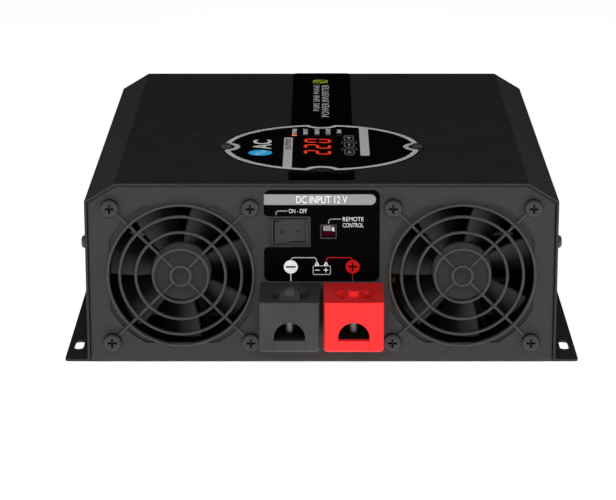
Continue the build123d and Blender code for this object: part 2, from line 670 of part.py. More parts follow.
def make_display_face():
    """Gloss plate inside the rim, with windows for the buttons and the lights."""
    outline = Pos(0, DISPLAY_Y) * badge_outline(DISPLAY_RIM + 0.05)
    for x, y in button_places().values():
        outline -= Pos(x, y) * RectangleRounded(BUTTON_WIDTH + 0.5, BUTTON_LENGTH + 0.5, 3.2)
    for x in LIGHT_XS:
        outline -= Pos(x, FRONT + LIGHT_SETBACK) * Rectangle(3.0, 2.4)
    return level(outline, FACE_FLOOR, FACE_TOP)


def make_indicator_lights():
    """Five small light pipes from the board up to the face."""
    lights = []
    for x in LIGHT_XS:
        place = Pos(x, FRONT + LIGHT_SETBACK)
        lights.append(level(place * Rectangle(2.9, 2.3), DISPLAY_BOARD_TOP, FACE_TOP))
    return lights


def make_digit_module():
    """Three-digit display block on the board."""
    low = FRONT + 58.6
    high = FRONT + 98.0
    body = block(-11.6, 7.4, low, high, DISPLAY_BOARD_TOP, FACE_FLOOR)
    return chamfer(body.edges().filter_by(Axis.Z), 0.4)


def make_display_board():
    """Board under the badge with a tact switch under each button."""
    board = block(-26.9, 26.9, DISPLAY_Y - 37, DISPLAY_Y + 37, DISPLAY_BOARD_TOP - BOARD, DISPLAY_BOARD_TOP)
    for x, y in button_places().values():
        board += block(x - 3, x + 3, y - 3, y + 3, DISPLAY_BOARD_TOP, DISPLAY_BOARD_TOP + 1.1)
    return board


def make_display_button(name):
    """Oblong key with a lip under the face and a stem to its tact switch."""
    x, y = button_places()[name]
    cap = level(Pos(x, y) * RectangleRounded(BUTTON_WIDTH, BUTTON_LENGTH, 2.9),
                FACE_FLOOR - 1.6, FACE_TOP + 0.5)
    cap = chamfer(cap.faces().sort_by(Axis.Z)[-1].edges(), 0.3)
    lip = level(Pos(x, y) * RectangleRounded(BUTTON_WIDTH + 1.6, BUTTON_LENGTH + 1.2, 3.4),
                FACE_FLOOR - 1.6, FACE_FLOOR - 0.2)
    switch_top = DISPLAY_BOARD_TOP + 1.1
    stem_floor = switch_top + BUTTON_TRAVEL + 0.05
    stem = rod("z", 1.5, (x, y, stem_floor), FACE_FLOOR - 1 - stem_floor)
    return cap + lip + stem


def make_display_screws():
    screw = pan_screw(3.1, 1.9, 1.25, 6.0)
    return [Pos(x, DISPLAY_Y, BADGE_EAR_TOP) * screw for x in (-DISPLAY_SCREW_X, DISPLAY_SCREW_X)]


# ---- rear connections ----
def outlet_recess():
    """Long hexagon that the plug's face fits in."""
    return Polygon((-17.5, 0), (-12.5, -8.5), (12.5, -8.5), (17.5, 0), (12.5, 8.5), (-12.5, 8.5),
                   align=None)


def make_outlet(x):
    """Mains outlet for round pins: a face plate and a housing with a deep recess."""
    here = Pos(x, OUTLET_Z)
    plate = upright(here * RectangleRounded(46, 46, 4), REAR_FACE, REAR_FACE + 3)
    plate = fillet(plate.faces().sort_by(Axis.Y)[-1].edges(), 1.0)
    outlet = plate + block(x - 19.9, x + 19.9, REAR_FACE - 26, REAR_FACE + 0.5,
                           OUTLET_Z - 19.9, OUTLET_Z + 19.9)
    outlet -= upright(here * outlet_recess(), REAR_FACE - 9, REAR_FACE + 4)
    for dx, dz in outlet_pins():
        outlet -= rod("y", 2.5, (x + dx, REAR_FACE - 20, OUTLET_Z + dz), 12)
    return outlet


def outlet_pins():
    """Offsets of the three round pins, the middle one being earth."""
    return ((-9.5, 0), (0, 3.0), (9.5, 0))


def make_outlet_contacts():
    """Split tube behind each pin hole."""
    contacts = []
    for x in (-OUTLET_X, OUTLET_X):
        for dx, dz in outlet_pins():
            ring = Pos(x + dx, OUTLET_Z + dz) * (Circle(2.5) - Circle(2.0))
            contacts.append(upright(ring, REAR_FACE - 20, REAR_FACE - 13))
    return contacts


def make_earth_stud():
    """Hex-head bolt through the rear panel, with a relief groove outside its nut."""
    inside = REAR_FACE - PANEL
    head = extrude(RegularPolygon(5, 6, major_radius=False), 4)
    stud = Pos(0, inside - 4, EARTH_Z) * FACING_REAR * head
    shank = rod("y", EARTH_RADIUS, (0, inside - 1, EARTH_Z), 21)
    stud += chamfer(shank.edges().filter_by(GeomType.CIRCLE).sort_by(Axis.Y)[-1], 0.5)
    ring = rod("y", EARTH_RADIUS + 1, (0, EARTH_NUT_END, EARTH_Z), EARTH_GROOVE)
    return stud - (ring - rod("y", EARTH_RADIUS - 0.4, (0, EARTH_NUT_END, EARTH_Z), EARTH_GROOVE))


def make_earth_nut():
    nut = hex_nut(10.0, EARTH_RADIUS + 0.05, EARTH_NUT_END - REAR_FACE)
    return Pos(0, REAR_FACE, EARTH_Z) * FACING_REAR * nut


# ---- inside ----
STANDOFF_PLACES = [(x, y) for x in (-98.0, 98.0) for y in (-88.0, 8.0, 104.0)]
TRANSFORMER_XS = (-46.0, 0.0, 46.0)
TRANSFORMER_Y = -10.0
SINK_X = 84.0


def make_main_board():
    half = MAIN_BOARD_WIDTH / 2
    board = block(-half, half, MAIN_BOARD_FRONT, MAIN_BOARD_REAR, MAIN_BOARD_Z, BOARD_TOP)
    for x, y in STANDOFF_PLACES:
        board -= rod("z", 1.8, (x, y, MAIN_BOARD_Z - 1), BOARD + 2)
    return board


def make_standoffs():
    """Hexagonal pillars with a stud through the board."""
    pillars = []
    for x, y in STANDOFF_PLACES:
        pillar = extrude(RegularPolygon(3.0, 6, major_radius=False), MAIN_BOARD_Z - SHEET)
        stud = Cylinder(1.7, MAIN_BOARD_Z - SHEET + 4, align=(Align.CENTER, Align.CENTER, Align.MIN))
        pillars.append(Pos(x, y, SHEET) * (pillar + stud))
    return pillars


def make_heat_sinks():
    """Two finned extrusions along the board's sides."""
    sinks = []
    for side in (-1, 1):
        sink = block(SINK_X, SINK_X + 4, -80, 96, BOARD_TOP, 74)
        for row in range(7):
            z = BOARD_TOP + 4 + 8.5 * row
            sink += block(SINK_X + 3, SINK_X + 18, -80, 96, z, z + 2)
        sinks.append(sink if side > 0 else Rot(0, 0, 180) * Pos(0, -16, 0) * sink)
    return sinks


def make_power_transistors():
    """Flat packages standing against the heat sinks."""
    parts = []
    for side in (-1, 1):
        for index in range(8):
            y = -68 + 20 * index
            x0 = side * SINK_X
            x1 = side * (SINK_X - 5)
            body = block(min(x0, x1), max(x0, x1), y - 8, y + 8, BOARD_TOP + 8, BOARD_TOP + 29)
            for dy in (-5.45, 0, 5.45):
                lead_x = side * (SINK_X - 2.5)
                body += block(lead_x - 0.4, lead_x + 0.4, y + dy - 0.6, y + dy + 0.6,
                              BOARD_TOP, BOARD_TOP + 9)
            parts.append(body)
    return parts


def make_transformer_cores():
    """Three ferrite cores, each a closed frame with a centre leg."""
    cores = []
    for x in TRANSFORMER_XS:
        core = block(x - 20, x + 20, TRANSFORMER_Y - 9, TRANSFORMER_Y + 9, BOARD_TOP + 3, BOARD_TOP + 45)
        for side in (-1, 1):
            near = x + side * 6
            far = x + side * 14
            core -= block(min(near, far), max(near, far), TRANSFORMER_Y - 10, TRANSFORMER_Y + 10,
                          BOARD_TOP + 9, BOARD_TOP + 39)
        cores.append(core)
    return cores


def make_transformer_windings():
    """Round windings on each core's centre leg."""
    windings = []
    for x in TRANSFORMER_XS:
        wall = Pos(x, TRANSFORMER_Y) * (RectangleRounded(27, 36, 8) - Rectangle(12.2, 18.2))
        windings.append(level(wall, BOARD_TOP + 9.2, BOARD_TOP + 38.8))
    return windings


def make_capacitors():
    """Input row at the front and two large bus capacitors at the back."""
    cans = []
    for index in range(6):
        x = -60 + 24 * index
        cans.append((x, -52, 8.0, 30))
    for x in (-24.0, 24.0):
        cans.append((x, 50, 17.5, 46))
    solids = []
    for x, y, radius, height in cans:
        can = rod("z", radius, (x, y, BOARD_TOP), height)
        solids.append(fillet(can.edges().filter_by(GeomType.CIRCLE), 0.8))
    return solids


def make_fuses():
    """Blade fuses in a row behind the terminals."""
    solids = []
    for index in range(6):
        x = 30 + 7 * index
        body = block(x - 2.5, x + 2.5, -88, -69, BOARD_TOP + 6, BOARD_TOP + 17)
        for y in (-85, -72):
            body += block(x - 0.4, x + 0.4, y - 2.5, y + 2.5, BOARD_TOP, BOARD_TOP + 7)
        solids.append(body)
    return solids


def make_output_choke():
    """Wound ring standing on the board by the outlets."""
    ring = Rot(90, 0, 0) * Torus(13.5, 6.5)
    core = Pos(0, 88, BOARD_TOP + 20) * ring
    return core & block(-40, 40, 70, 110, BOARD_TOP, 90)


# ---- write every node ----
def write_node(name, shapes):
    """Write one STEP file; a list becomes a group of separate solids."""
    node = Compound(children=list(shapes)) if isinstance(shapes, list) else shapes
    export_step(node, os.path.join("parts", name + ".step"))


os.makedirs("parts", exist_ok=True)

write_node("cover", make_cover())
write_node("base_plate", make_base_plate())
write_node("base_screws", make_base_screws())
write_node("front_panel", make_front_panel())
write_node("rear_panel", make_rear_panel())
write_node("cover_screws", make_cover_screws())
write_node("front_label", make_front_label())
write_node("top_strip", make_top_strip())

for side_name, side in (("left", -1), ("right", 1)):
    write_node(side_name + "_fan_frame", in_fan_place(fan_frame(), side))
    write_node(side_name + "_fan_shaft", in_fan_place(fan_shaft(), side))
    write_node(side_name + "_fan_impeller", in_fan_place(fan_impeller(), side))
    write_node(side_name + "_fan_guard", in_fan_place(fan_guard(), side))
write_node("fan_bearings", [in_fan_place(fan_bearing(), side) for side in (-1, 1)])
write_node("fan_stators", [in_fan_place(s, side) for side in (-1, 1) for s in fan_stator()])
write_node("fan_screws", make_fan_screws())
write_node("fan_nuts", make_fan_nuts())

for side_name, side in (("negative", -1), ("positive", 1)):
    here = Pos(side * TERMINAL_X, 0, 0)
    write_node(side_name + "_boot", here * terminal_boot())
    write_node(side_name + "_insert", here * terminal_insert())
    write_node(side_name + "_clamp_tip", here * terminal_tip())
    write_node(side_name + "_clamp_screw", here * terminal_screw())
    write_node(side_name + "_clamp_knob", here * terminal_knob())
write_node("terminal_lugs", [Pos(side * TERMINAL_X, 0, 0) * terminal_lug() for side in (-1, 1)])
write_node("busbars", [Pos(side * TERMINAL_X, 0, 0) * terminal_busbar() for side in (-1, 1)])

write_node("switch_body", make_switch_body())
write_node("switch_rocker", make_switch_rocker())
write_node("switch_tabs", make_switch_tabs())
write_node("remote_jack", make_remote_jack())
write_node("jack_pins", make_jack_pins())

write_node("display_bezel", make_display_bezel())
write_node("display_face", make_display_face())
write_node("digit_module", make_digit_module())
write_node("display_board", make_display_board())
write_node("indicator_lights", make_indicator_lights())
write_node("display_screws", make_display_screws())
for name in BUTTON_SETBACKS:
    write_node("display_button_" + name, make_display_button(name))

write_node("outlet_left", make_outlet(-OUTLET_X))
write_node("outlet_right", make_outlet(OUTLET_X))
write_node("outlet_contacts", make_outlet_contacts())
write_node("earth_stud", make_earth_stud())
write_node("earth_nut", make_earth_nut())

write_node("main_board", make_main_board())
write_node("standoffs", make_standoffs())
write_node("heat_sinks", make_heat_sinks())
write_node("power_transistors", make_power_transistors())
write_node("transformer_cores", make_transformer_cores())
write_node("transformer_windings", make_transformer_windings())
write_node("capacitors", make_capacitors())
write_node("fuses", make_fuses())
write_node("output_choke", make_output_choke())
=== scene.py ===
import json
from math import cos, hypot, pi, radians, sin

import bmesh
import bpy
from mathutils import Matrix, Vector


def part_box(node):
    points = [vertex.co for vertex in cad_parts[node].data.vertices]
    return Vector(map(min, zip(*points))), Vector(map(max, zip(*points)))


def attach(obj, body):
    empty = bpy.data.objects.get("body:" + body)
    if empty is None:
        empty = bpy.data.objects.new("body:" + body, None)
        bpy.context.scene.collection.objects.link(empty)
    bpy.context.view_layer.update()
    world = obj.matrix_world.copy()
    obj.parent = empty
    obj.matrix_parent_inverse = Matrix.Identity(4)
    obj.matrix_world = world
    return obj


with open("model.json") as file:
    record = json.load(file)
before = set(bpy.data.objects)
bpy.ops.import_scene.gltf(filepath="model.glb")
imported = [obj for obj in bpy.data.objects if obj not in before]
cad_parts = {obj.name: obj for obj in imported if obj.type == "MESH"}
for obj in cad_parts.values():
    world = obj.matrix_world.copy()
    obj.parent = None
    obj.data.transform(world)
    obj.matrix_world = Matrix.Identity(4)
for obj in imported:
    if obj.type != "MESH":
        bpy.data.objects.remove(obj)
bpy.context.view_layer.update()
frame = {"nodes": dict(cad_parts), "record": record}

NODES = frame["nodes"]
MM = 0.001
LENS = 150.26
SENSOR_WIDTH = 36.0
LENS_SHIFT = -0.0221
CAMERA_PLACE = (0.0, -1.4032, 0.4171)
CAMERA_TILT = 74.316
NOISE_LOW = 0.3
NOISE_HIGH = 0.7
SLOW_SCALE = 60.0
ROUGHNESS_SWING = 0.12


# ---- camera ----
def make_camera():
    """Long lens, a little above the case and square to its front."""
    data = bpy.data.cameras.new("camera")
    data.lens = LENS
    data.sensor_width = SENSOR_WIDTH
    data.shift_x = LENS_SHIFT
    data.clip_end = 50.0
    camera = bpy.data.objects.new("camera", data)
    camera.location = CAMERA_PLACE
    camera.rotation_euler = (radians(CAMERA_TILT), 0.0, 0.0)
    bpy.context.scene.collection.objects.link(camera)
    bpy.context.scene.camera = camera


make_camera()


# ---- materials ----
def node_tree(name):
    """New material with its Principled shader and a place for more nodes."""
    material = bpy.data.materials.new(name)
    material.use_nodes = True
    tree = material.node_tree
    return material, tree, tree.nodes["Principled BSDF"]


def noise(tree, scale, detail=3.0, stretch=(1.0, 1.0, 1.0)):
    """Noise factor in object space; scale is in features per metre."""
    coords = tree.nodes.new("ShaderNodeTexCoord")
    mapping = tree.nodes.new("ShaderNodeMapping")
    mapping.inputs["Scale"].default_value = stretch
    texture = tree.nodes.new("ShaderNodeTexNoise")
    texture.inputs["Scale"].default_value = scale
    texture.inputs["Detail"].default_value = detail
    tree.links.new(coords.outputs["Object"], mapping.inputs["Vector"])
    tree.links.new(mapping.outputs["Vector"], texture.inputs["Vector"])
    return texture.outputs["Fac"]


def spread(tree, factor, low, high):
    """Map the middle of a noise factor onto a range."""
    node = tree.nodes.new("ShaderNodeMapRange")
    node.inputs["From Min"].default_value = NOISE_LOW
    node.inputs["From Max"].default_value = NOISE_HIGH
    node.inputs["To Min"].default_value = low
    node.inputs["To Max"].default_value = high
    tree.links.new(factor, node.inputs["Value"])
    return node.outputs["Result"]


def two_tone(tree, factor, first, second):
    """Colour ramp between two linear colours."""
    ramp = tree.nodes.new("ShaderNodeValToRGB")
    ramp.color_ramp.elements[0].position = NOISE_LOW
    ramp.color_ramp.elements[1].position = NOISE_HIGH
    ramp.color_ramp.elements[0].color = (*first, 1.0)
    ramp.color_ramp.elements[1].color = (*second, 1.0)
    tree.links.new(factor, ramp.inputs["Fac"])
    return ramp.outputs["Color"]


def shade(colour, factor):
    return tuple(min(1.0, c * factor) for c in colour)


def finish(name, colour, roughness, grain=1800.0, depth=0.02, drift=0.12, metallic=0.0,
           specular=0.5, stretch=(1.0, 1.0, 1.0)):
    """Surface with a fine grain in its relief, and slow drifts of colour and roughness."""
    material, tree, shader = node_tree(name)
    slow = noise(tree, SLOW_SCALE, 4.0, stretch)
    fine = noise(tree, grain, 2.0, stretch)
    tone = two_tone(tree, slow, shade(colour, 1.0 - drift), shade(colour, 1.0 + drift))
    tree.links.new(tone, shader.inputs["Base Color"])
    roughest = min(1.0, roughness * (1.0 + ROUGHNESS_SWING))
    swing = spread(tree, fine, roughness * (1.0 - ROUGHNESS_SWING), roughest)
    tree.links.new(swing, shader.inputs["Roughness"])
    bump = tree.nodes.new("ShaderNodeBump")
    bump.inputs["Strength"].default_value = 0.5
    bump.inputs["Distance"].default_value = depth * MM
    tree.links.new(fine, bump.inputs["Height"])
    tree.links.new(bump.outputs["Normal"], shader.inputs["Normal"])
    shader.inputs["Metallic"].default_value = metallic
    shader.inputs["Specular IOR Level"].default_value = specular
    return material


def banded(name, first, second, axis, start, end, roughness=0.5, grain=2000, depth=0.01, specular=0.35):
    """Finish whose colour passes from first to second between two places along an axis, in metres; used
    for painted shade on deeper surfaces, and for the badge's two-tone rim.
    """
    material = finish(name, second, roughness, grain, depth, specular=specular)
    tree = material.node_tree
    shader = tree.nodes["Principled BSDF"]
    coords = tree.nodes.new("ShaderNodeTexCoord")
    split = tree.nodes.new("ShaderNodeSeparateXYZ")
    ramp = tree.nodes.new("ShaderNodeMapRange")
    ramp.inputs["From Min"].default_value = start
    ramp.inputs["From Max"].default_value = end
    mix = tree.nodes.new("ShaderNodeMixRGB")
    near = two_tone(tree, noise(tree, 300.0, 3.0), shade(first, 0.93), shade(first, 1.07))
    far = shader.inputs["Base Color"].links[0].from_socket
    tree.links.new(coords.outputs["Object"], split.inputs["Vector"])
    tree.links.new(split.outputs[axis], ramp.inputs["Value"])
    tree.links.new(ramp.outputs["Result"], mix.inputs["Fac"])
    tree.links.new(near, mix.inputs["Color1"])
    tree.links.new(far, mix.inputs["Color2"])
    tree.links.new(mix.outputs["Color"], shader.inputs["Base Color"])
    return material


def glow(name, colour, strength):
    """Lit display colour, a little brighter in the middle of each patch."""
    material, tree, shader = node_tree(name)
    patch = noise(tree, 900.0, 2.0)
    tone = two_tone(tree, patch, shade(colour, 0.75), colour)
    tree.links.new(tone, shader.inputs["Emission Color"])
    shader.inputs["Base Color"].default_value = (*shade(colour, 0.4), 1.0)
    shader.inputs["Emission Strength"].default_value = strength
    shader.inputs["Roughness"].default_value = 0.4
    return material


RIM_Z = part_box("display_face")[1].z
PANEL_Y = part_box("front_panel")[0].y
SCREW_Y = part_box("fan_screws")[0].y
HUB_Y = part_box("left_fan_impeller")[0].y
MATERIALS = {
    "case_coat": finish("case_coat", (0.028, 0.028, 0.0285), 0.62, 1500, 0.03, specular=0.22),
    "panel_coat": finish("panel_coat", (0.0328, 0.0328, 0.0334), 0.6, 1500, 0.03, specular=0.25),
    # front panel coat; from 0.2 to 0.6 mm behind its face it turns near black, painted shade on its
    # rolled edges and the edges of its openings
    "front_coat_and_edge_shade": banded("front_coat_and_edge_shade", (0.0328, 0.0328, 0.0334), (0.0015, 0.0015, 0.0015), "Y",
                         PANEL_Y + 0.0002, PANEL_Y + 0.0006, 0.6, 1500, 0.03, 0.25),
    "black_screw": finish("black_screw", (0.05, 0.05, 0.052), 0.42, 2500, 0.01, metallic=0.2),
    "gloss_film": finish("gloss_film", (0.0006, 0.0006, 0.0007), 0.3, 700, 0.004, specular=0.02),
    # fan frame: turns near black from 2.2 mm to 3 mm behind the panel face, painted shade in the fan
    # bore
    "fan_frame": banded("fan_frame", (0.03, 0.03, 0.0306), (0.0025, 0.0025, 0.0025), "Y",
                        PANEL_Y + 0.0022, PANEL_Y + 0.003, specular=0.15),
    # impeller blades: darken towards near black from 0.4 mm to 6 mm behind the hub's front, painted
    # shade deeper in the fan
    "fan_blades": banded("fan_blades", (0.028, 0.028, 0.0285), (0.0045, 0.0045, 0.0045), "Y",
                         HUB_Y + 0.0004, HUB_Y + 0.006, roughness=0.55, specular=0.2),
    # fan screws: near black more than 0.7 to 1.1 mm behind the head's face, painted shade in the cross
    # recess and round the head
    "fan_screw": banded("fan_screw", (0.035, 0.035, 0.0356), (0.001, 0.001, 0.001), "Y",
                        SCREW_Y + 0.0007, SCREW_Y + 0.0011, specular=0.3),
    "guard_wire": finish("guard_wire", (0.04, 0.04, 0.041), 0.42, 2600, 0.01, specular=0.35),
    "bright_steel": finish("bright_steel", (0.19, 0.19, 0.193), 0.38, 2600, 0.004, metallic=1.0),
    # terminal lugs: brass darkened to near black, painted shade for the inside of the terminal mouths
    "lug_metal": finish("lug_metal", (0.02, 0.021, 0.014), 0.5, 1600, 0.01, metallic=0.5, specular=0.3),
    "zinc_steel": finish("zinc_steel", (0.6, 0.6, 0.58), 0.35, 1600, 0.01, metallic=1.0),
    "bronze": finish("bronze", (0.55, 0.45, 0.26), 0.35, 1600, 0.01, metallic=1.0),
    # copper: own hue, darkened as painted shade for parts deep inside the case
    "copper": finish("copper", (0.3, 0.12, 0.05), 0.4, 1600, 0.01, metallic=1.0),
    "boot_grey": finish("boot_grey", (0.038, 0.0375, 0.0385), 0.5, 1600, 0.02, specular=0.3),
    "cap_grey": finish("cap_grey", (0.07, 0.07, 0.072), 0.45, 1600, 0.02, specular=0.3),
    "boot_red": finish("boot_red", (0.82, 0.022, 0.022), 0.5, 1600, 0.02, drift=0.06, specular=0.25),
    "switch_plastic": finish("switch_plastic", (0.026, 0.0253, 0.026), 0.45, 2200, 0.012, specular=0.35),
    "jack_plastic": finish("jack_plastic", (0.02, 0.02, 0.021), 0.5, 2200, 0.012),
    "badge_grey": banded("badge_grey", (0.01, 0.01, 0.01), (0.85, 0.85, 0.85), "Z", RIM_Z - 4e-5, RIM_Z),
    "gloss_face": finish("gloss_face", (0.0006, 0.0006, 0.0007), 0.16, 500, 0.002, specular=0.06),
    "module_plastic": finish("module_plastic", (0.1, 0.1, 0.1), 0.5),
    # circuit board: own green, darkened as painted shade for parts deep inside the case
    "circuit_board": finish("circuit_board", (0.008, 0.05, 0.022), 0.5, 900, 0.03, drift=0.3),
    "light_pipe": finish("light_pipe", (0.05, 0.05, 0.05), 0.25, 1500, 0.004),
    "key_plastic": finish("key_plastic", (0.012, 0.012, 0.012), 0.35, 2200, 0.01),
    "outlet_plastic": finish("outlet_plastic", (0.02, 0.02, 0.021), 0.38, 1800, 0.012),
    # heat sink: own aluminium grey, darkened as painted shade for parts deep inside the case
    "sink_aluminium": finish("sink_aluminium", (0.4, 0.4, 0.41), 0.45, 900, 0.02, metallic=1.0,
                             stretch=(1.0, 0.05, 1.0)),
    "epoxy": finish("epoxy", (0.02, 0.02, 0.02), 0.5, 2200, 0.01),
    "ferrite": finish("ferrite", (0.05, 0.05, 0.052), 0.6, 900, 0.04),
    # capacitor sleeves and fuses: own colours, darkened as painted shade for parts deep inside the case
    "capacitor_sleeve": finish("capacitor_sleeve", (0.006, 0.008, 0.02), 0.25, 600, 0.01),
    "fuse_plastic": finish("fuse_plastic", (0.3, 0.12, 0.01), 0.3, 900, 0.01),
}
INK = {
    "white": finish("ink_white", (0.8, 0.8, 0.8), 0.5, 1500, 0.003, drift=0.04),
    "grey": finish("ink_grey", (0.25, 0.25, 0.25), 0.5, 1500, 0.003, drift=0.04),
    "dark": finish("ink_dark", (0.03, 0.03, 0.03), 0.5, 1500, 0.003),
    "black": finish("ink_black", (0.001, 0.001, 0.001), 0.6, 1500, 0.003, specular=0.1),
    "red": finish("ink_red", (0.48, 0.004, 0.006), 0.5, 1500, 0.003, drift=0.04, specular=0.15),
    "wine": finish("ink_wine", (0.05, 0.0006, 0.006), 0.7, 1500, 0.003, specular=0.02),
    "deep_red": finish("ink_deep_red", (0.3, 0.003, 0.005), 0.5, 1500, 0.003, drift=0.04),
    "soft": finish("ink_soft", (0.45, 0.45, 0.45), 0.5, 1500, 0.003, drift=0.04),
    "green": finish("ink_green", (0.42, 0.62, 0.03), 0.45, 1500, 0.003, drift=0.08),
    "lit_red": glow("lit_red", (1.0, 0.05, 0.01), 1.15),
    "lit_white": glow("lit_white", (0.85, 0.85, 0.85), 0.4),
    "lit_blue": glow("lit_blue", (0.03, 0.45, 0.85), 0.6),
    "pale": finish("ink_pale", (0.85, 0.85, 0.85), 0.5, 1500, 0.003, drift=0.03),
    "lit_halo": glow("lit_halo", (1.0, 0.02, 0.01), 0.09),
    "lit_orange": glow("lit_orange", (1.0, 0.16, 0.03), 1.2),
}


# nodes whose finish differs from their slot's; all but the knob carry painted shade on their deeper
# surfaces
SPECIAL = {
    "front_panel": "front_coat_and_edge_shade",
    "left_fan_frame": "fan_frame",
    "right_fan_frame": "fan_frame",
    "left_fan_impeller": "fan_blades",
    "right_fan_impeller": "fan_blades",
    "fan_screws": "fan_screw",
    "negative_clamp_knob": "cap_grey",
}


def dress_cad():
    """Give each CAD node its slot's material, or its own finish; most of those carry painted shade."""
    slots = {s["node"]: s["material_slot"] for s in frame["record"]["subparts"]}
    for name, thing in NODES.items():
        thing.data.materials.clear()
        thing.data.materials.append(MATERIALS[SPECIAL.get(name, slots[name])])


dress_cad()


# ---- places for printed work: u and v lie on the surface, w stands out of it ----
def place(origin, u_axis, v_axis):
    """Matrix from (u, v, w) in millimetres on a surface to the row frame."""
    u = Vector(u_axis)
    v = Vector(v_axis)
    w = u.cross(v)
    turn = Matrix((u, v, w)).transposed().to_4x4()
    return Matrix.Translation(Vector(origin)) @ turn @ Matrix.Scale(MM, 4)


LABEL_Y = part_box("front_label")[0].y
FACE_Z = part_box("display_face")[1].z
STRIP_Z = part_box("top_strip")[1].z
CASE_FRONT_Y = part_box("cover")[0].y
BADGE_Y = (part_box("display_bezel")[0].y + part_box("display_bezel")[1].y) / 2
ON_LABEL = place((0, LABEL_Y, 0), (1, 0, 0), (0, 0, 1))
ON_FACE = place((0, CASE_FRONT_Y, FACE_Z), (0, 1, 0), (-1, 0, 0))
ON_STRIP = place((0, CASE_FRONT_Y, STRIP_Z), (0, 1, 0), (-1, 0, 0))
INK_DEPTH = 0.03


# ---- flat outlines in millimetres ----
def arc(cx, cy, radius, start, end, steps=10):
    """Points on a circle between two angles in degrees."""
    turn = (end - start) / steps
    return [(cx + radius * cos(radians(start + turn * i)), cy + radius * sin(radians(start + turn * i)))
            for i in range(steps + 1)]


def disc(cx, cy, radius, steps=48):
    return arc(cx, cy, radius, 0, 360 - 360 / steps, steps - 1)


def oval(across, up, steps=40):
    """Ellipse round the origin."""
    turns = [2 * pi * i / steps for i in range(steps)]
    return [(across * cos(turn), up * sin(turn)) for turn in turns]


def slab(x0, y0, x1, y1, radius=0.0, round_left=True, round_right=True):
    """Rectangle with rounded corners, from its low to its high corner."""
    left = radius if round_left else 0.0
    right = radius if round_right else 0.0
    points = []
    for cx, cy, r, start in ((x1 - right, y1 - right, right, 0), (x0 + left, y1 - left, left, 90),
                             (x0 + left, y0 + left, left, 180), (x1 - right, y0 + right, right, 270)):
        points += arc(cx, cy, r, start, start + 90, 8) if r > 0 else [(cx, cy)]
    return points


def cross(cx, cy, reach, half):
    """Plus sign outline."""
    quarter = [(reach, -half), (reach, half), (half, half)]
    points = []
    for turn in range(4):
        for x, y in quarter:
            for _ in range(turn):
                x, y = -y, x
            points.append((cx + x, cy + y))
    return points


def sine_wave(cx, cy, reach, height, steps=32):
    """One period of a sine wave about a point."""
    return [(cx - reach + 2 * reach * i / steps, cy + height * sin(2 * pi * i / steps))
            for i in range(steps + 1)]


def stroke(path, width):
    """Outline of a line of this width along a path."""
    left = []
    right = []
    last = len(path) - 1
    for i, (x, y) in enumerate(path):
        before = path[max(0, i - 1)]
        after = path[min(last, i + 1)]
        dx = after[0] - before[0]
        dy = after[1] - before[1]
        size = hypot(dx, dy)
        nx = -dy / size * width / 2
        ny = dx / size * width / 2
        left.append((x + nx, y + ny))
        right.append((x - nx, y - ny))
    return left + right[::-1]


def join_curve(curve, name, matrix, material, body):
    """Turn a filled curve into a clean closed mesh that rides on a body."""
    temporary = bpy.data.objects.new(name + "_curve", curve)
    bpy.context.scene.collection.objects.link(temporary)
    bpy.context.view_layer.update()
    mesh = bpy.data.meshes.new_from_object(temporary)
    bpy.data.objects.remove(temporary)
    work = bmesh.new()
    work.from_mesh(mesh)
    bmesh.ops.remove_doubles(work, verts=work.verts, dist=1e-5)
    bmesh.ops.transform(work, matrix=matrix, verts=work.verts)
    bmesh.ops.recalc_face_normals(work, faces=work.faces)
    work.to_mesh(mesh)
    work.free()
    mesh.name = name
    return add_piece(name, mesh, material, body)


def add_piece(name, mesh, material, body):
    """Link a finished mesh, give it its material and body."""
    mesh.materials.clear()
    mesh.materials.append(material)
    piece = bpy.data.objects.new(name, mesh)
    bpy.context.scene.collection.objects.link(piece)
    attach(piece, body)
    return piece


def print_shape(name, loops, matrix, ink, body="case"):
    """Printed patch; an inner loop is a hole."""
    curve = bpy.data.curves.new(name, "CURVE")
    curve.dimensions = "2D"
    curve.fill_mode = "BOTH"
    curve.extrude = INK_DEPTH
    for loop in loops:
        spline = curve.splines.new("POLY")
        spline.points.add(len(loop) - 1)
        for point, (x, y) in zip(spline.points, loop):
            point.co = (x, y, 0.0, 1.0)
        spline.use_cyclic_u = True
    return join_curve(curve, name, matrix, INK[ink], body)


def print_text(name, words, u, v, height, matrix, ink, width=None, weight=0.0):
    """Lettering centred on (u, v), with this capital height and, if given, this width."""
    curve = bpy.data.curves.new(name, "FONT")
    curve.body = words
    curve.extrude = INK_DEPTH
    curve.resolution_u = 4
    curve.offset = weight
    mesh_object = bpy.data.objects.new(name + "_measure", curve)
    bpy.context.scene.collection.objects.link(mesh_object)
    bpy.context.view_layer.update()
    measured = bpy.data.meshes.new_from_object(mesh_object)
    xs = [p.co.x for p in measured.vertices]
    ys = [p.co.y for p in measured.vertices]
    bpy.data.objects.remove(mesh_object)
    bpy.data.meshes.remove(measured)
    grow_v = height / (max(ys) - min(ys))
    grow_u = width / (max(xs) - min(xs)) if width else grow_v * 0.7
    middle = Matrix.Translation((-(max(xs) + min(xs)) / 2, -(max(ys) + min(ys)) / 2, 0))
    fit = Matrix.Translation((u, v, 0)) @ Matrix.Diagonal((grow_u, grow_v, 1.0, 1.0)) @ middle
    return join_curve(curve, name, matrix @ fit, INK[ink], "case")


# ---- front label: u is X and v is Z ----
SIGN_RADIUS = 3.57
MINUS_AT = (-15.8, 52.35)
PLUS_AT = (15.9, 52.45)
SIGN_REACH = 2.5
SIGN_HALF = 0.42
WIRE_WIDTH = 0.42
LEADER_WIDTH = 0.3
SMALL_CAPITALS = 2.2
STEM_HALF = 0.2
STEM_LOW = 44.9
STEM_TOP = 48.9


